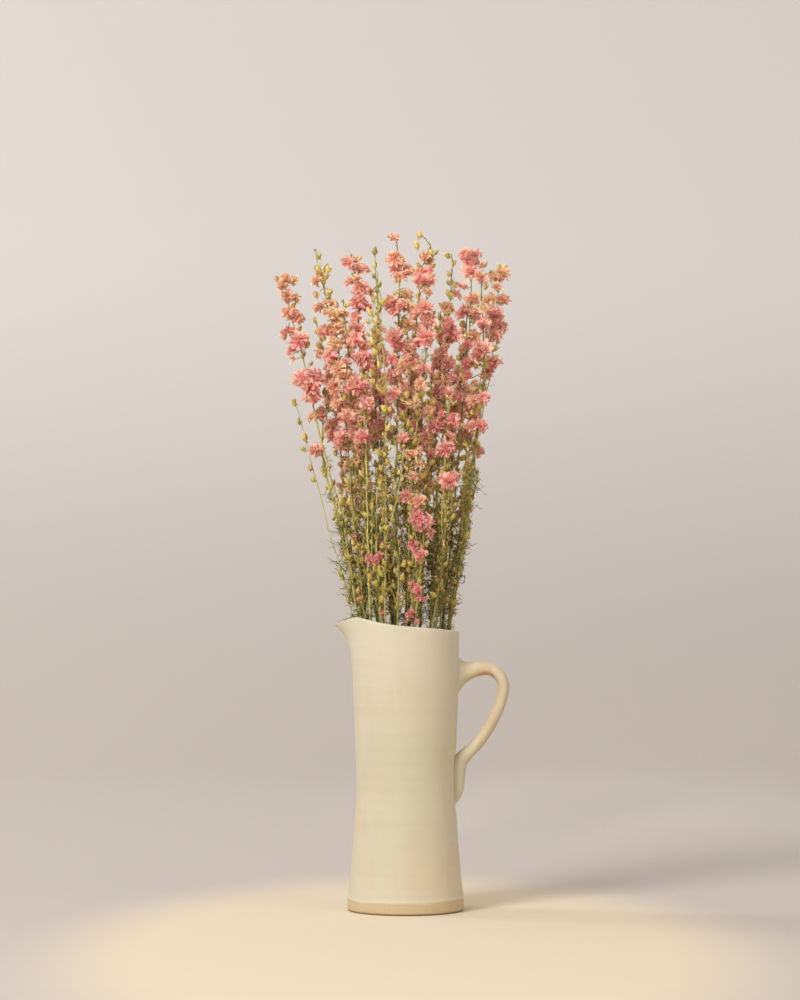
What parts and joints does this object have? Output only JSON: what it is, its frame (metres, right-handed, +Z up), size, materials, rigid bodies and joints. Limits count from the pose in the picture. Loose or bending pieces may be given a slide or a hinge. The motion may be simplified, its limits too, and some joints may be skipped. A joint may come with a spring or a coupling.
{
  "type": "dried delphinium in jug",
  "caption": "Bunch of dried pink delphinium stems with double florets and green buds, standing loose in a tall matte stoneware jug with a pulled spout and a strap handle.",
  "frame": {"origin": "centre of the jug's flat underside, where it rests", "axes": "+Z up; -X towards the spout, +X towards the handle; -Y is the side that the bunch shows"},
  "size_m": [0.2373, 0.1854, 0.6652],
  "materials": {
    "jug_clay": "matte",
    "petal_pink": "matte",
    "bud_green": "matte",
    "stalk_green": "matte",
    "leaf_olive": "matte"
  },
  "bodies": {
    "root": {"jug": "jug_clay", "flower_stem_01": "petal_pink", "flower_stem_02": "petal_pink", "flower_stem_03": "petal_pink", "flower_stem_04": "petal_pink", "flower_stem_05": "petal_pink", "flower_stem_06": "petal_pink", "flower_stem_07": "petal_pink", "flower_stem_08": "petal_pink", "flower_stem_09": "petal_pink", "flower_stem_10": "petal_pink", "flower_stem_11": "petal_pink", "flower_stem_12": "petal_pink", "flower_stem_13": "petal_pink", "flower_stem_14": "petal_pink", "flower_stem_15": "petal_pink", "flower_stem_16": "petal_pink", "flower_stem_17": "petal_pink", "flower_stem_18": "petal_pink", "flower_stem_19": "petal_pink", "flower_stem_20": "petal_pink", "flower_stem_21": "petal_pink", "flower_stem_22": "petal_pink", "flower_stem_23": "petal_pink", "flower_stem_24": "petal_pink", "flower_stem_25": "petal_pink", "flower_stem_26": "petal_pink", "flower_stem_27": "petal_pink", "flower_stem_28": "petal_pink", "flower_stem_29": "petal_pink", "flower_stem_30": "petal_pink", "flower_stem_31": "petal_pink", "flower_stem_32": "petal_pink", "bud_stem_01": "bud_green", "bud_stem_02": "bud_green", "bud_stem_03": "bud_green", "bud_stem_04": "bud_green", "bud_stem_05": "bud_green", "bud_stem_06": "bud_green"}
  },
  "joints": []
}
